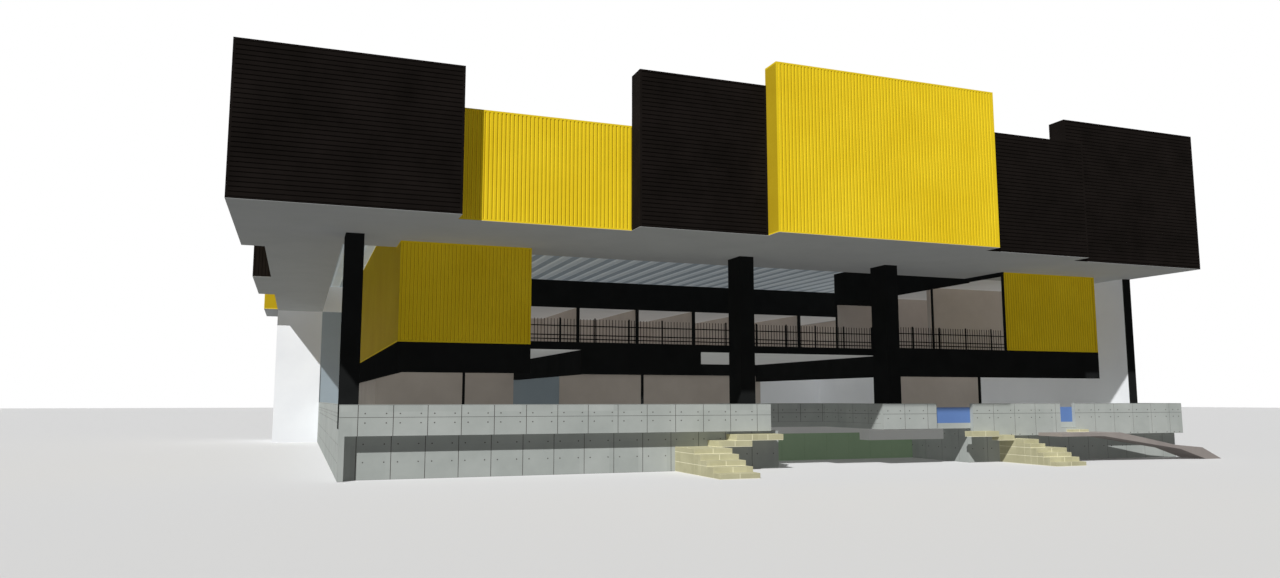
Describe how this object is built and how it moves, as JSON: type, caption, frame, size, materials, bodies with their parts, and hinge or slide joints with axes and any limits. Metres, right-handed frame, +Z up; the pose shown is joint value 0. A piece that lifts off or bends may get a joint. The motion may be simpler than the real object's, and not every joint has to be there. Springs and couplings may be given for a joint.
{
  "type": "supermarket building, 1:2 scale",
  "caption": "Two-storey supermarket building with a floating band of black and yellow cladding boxes over an open terrace, columns, railings and a concrete plinth",
  "frame": {"origin": "the middle of the footprint, at ground level", "axes": "+X runs along the front to the right, -Y is the front, +Z up"},
  "size_m": [22.3, 21.395, 7.625],
  "materials": {
    "black_cladding": "matt sheet with fine ribs",
    "yellow_cladding": "satin sheet with upright ribs",
    "grey_soffit": "matt boards",
    "light_ceiling": "matt boards",
    "roof_sheet": "satin corrugated sheet",
    "black_steel": "satin",
    "brown_plaster": "matt plaster",
    "white_plaster": "matt plaster",
    "tinted_glass": "clear",
    "blue_panel": "satin",
    "green_panel": "satin",
    "concrete": "fair-faced concrete",
    "brown_screed": "trowelled screed",
    "beige_stone": "cut blocks"
  },
  "bodies": {
    "root": {"corner_box": "black_cladding", "tall_black_box": "black_cladding", "middle_black_box": "black_cladding", "right_corner_box": "black_cladding", "black_side_boxes": "black_cladding", "rear_boxes": "black_cladding", "low_yellow_box": "yellow_cladding", "sign_box": "yellow_cladding", "yellow_side_boxes": "yellow_cladding", "left_yellow_wing": "yellow_cladding", "right_yellow_screen": "yellow_cladding", "front_soffit": "grey_soffit", "left_soffit": "grey_soffit", "right_ceiling": "light_ceiling", "shop_ceiling": "light_ceiling", "roof_deck": "roof_sheet", "court_fascia": "black_steel", "front_columns": "black_steel", "upper_slab": "black_steel", "edge_beams": "black_steel", "upper_posts": "black_steel", "lower_posts": "black_steel", "left_railing": "black_steel", "right_railing": "black_steel", "shop_partitions": "brown_plaster", "back_wall": "brown_plaster", "right_room_walls": "brown_plaster", "lower_shop_walls": "brown_plaster", "white_walls": "white_plaster", "driveway_beam": "white_plaster", "lower_shop_glazing": "tinted_glass", "rear_glazing": "tinted_glass", "entrance_screen": "blue_panel", "garage_wall": "green_panel", "plinth_slab": "concrete", "plinth_walls": "concrete", "left_parapet": "concrete", "right_parapet": "concrete", "recess_walls": "concrete", "access_ramp": "brown_screed", "left_stair": "beige_stone", "right_stair": "beige_stone"}
  },
  "joints": []
}
